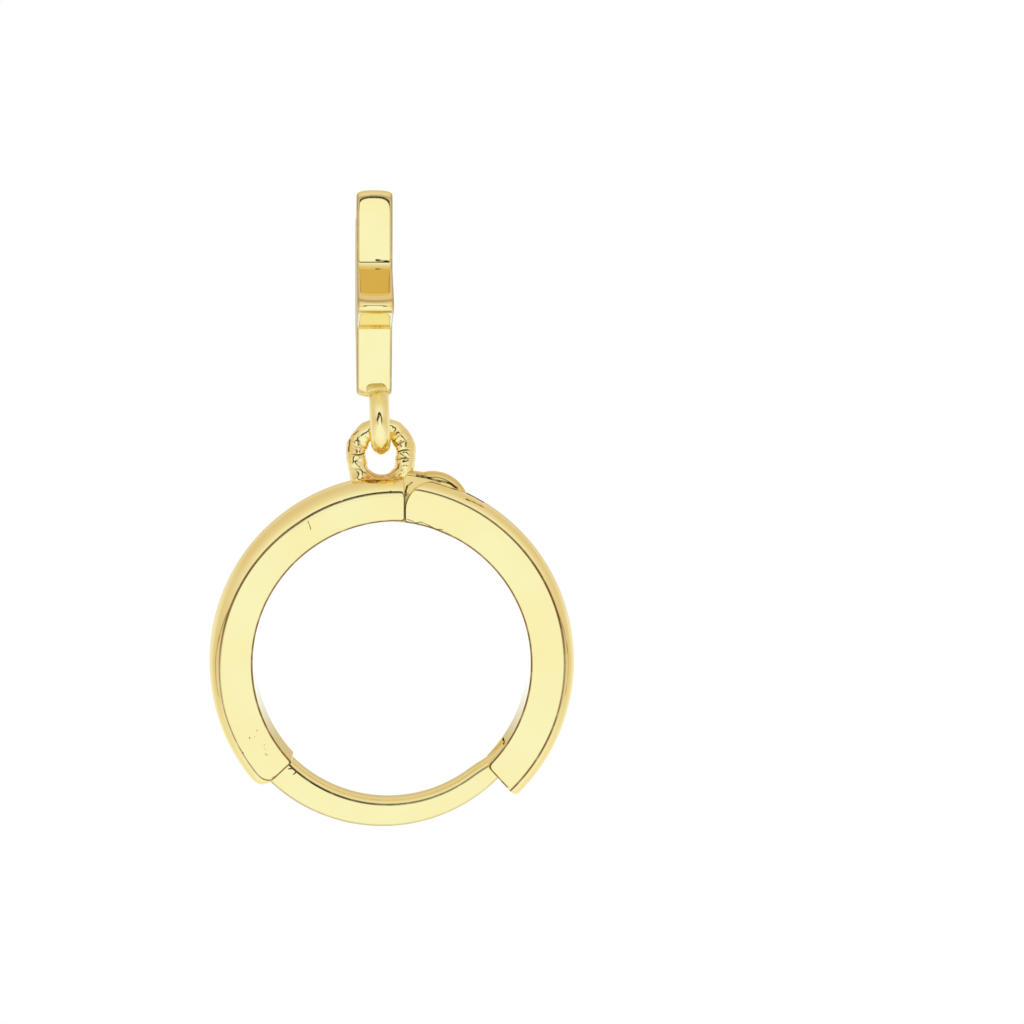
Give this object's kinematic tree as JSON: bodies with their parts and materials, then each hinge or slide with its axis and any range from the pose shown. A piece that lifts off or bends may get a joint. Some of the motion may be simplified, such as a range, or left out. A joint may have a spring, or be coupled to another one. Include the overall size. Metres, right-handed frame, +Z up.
{
  "type": "hoop charm earring",
  "caption": "Hinged huggie hoop earring in polished yellow gold, with a straight-sided domed band, a slim ear post and a solid star charm that hangs from a soldered wire loop",
  "frame": {"origin": "the middle of the ear post, where the ear lobe carries the earring", "axes": "+Z up as worn, with the ear post at the top and the star hanging below; the hoop stands in the XZ plane with its gate towards -X and its hinge axis along Y; the star's faces look along X"},
  "size_m": [0.0122, 0.007, 0.021],
  "materials": {
    "polished_gold": "solid yellow gold, mirror polished on the flat faces and the dome, with rougher solder at the loop and the hinge"
  },
  "bodies": {
    "hoop": {"fixed_half": "polished_gold"},
    "gate": {"gate_half": "polished_gold", "hinge_pin": "polished_gold"},
    "charm": {"star_charm": "polished_gold"}
  },
  "joints": [
    {"name": "gate_hinge", "type": "hinge", "parent": "hoop", "child": "gate", "pos_m": [-0.00135, 0, -0.01018], "axis": [0, -1, 0], "range_deg": [0, 60]},
    {"name": "charm_swing", "type": "hinge", "parent": "hoop", "child": "charm", "pos_m": [0.00035, 0, -0.01284], "axis": [1, 0, 0], "range_deg": [-90, 90]}
  ]
}
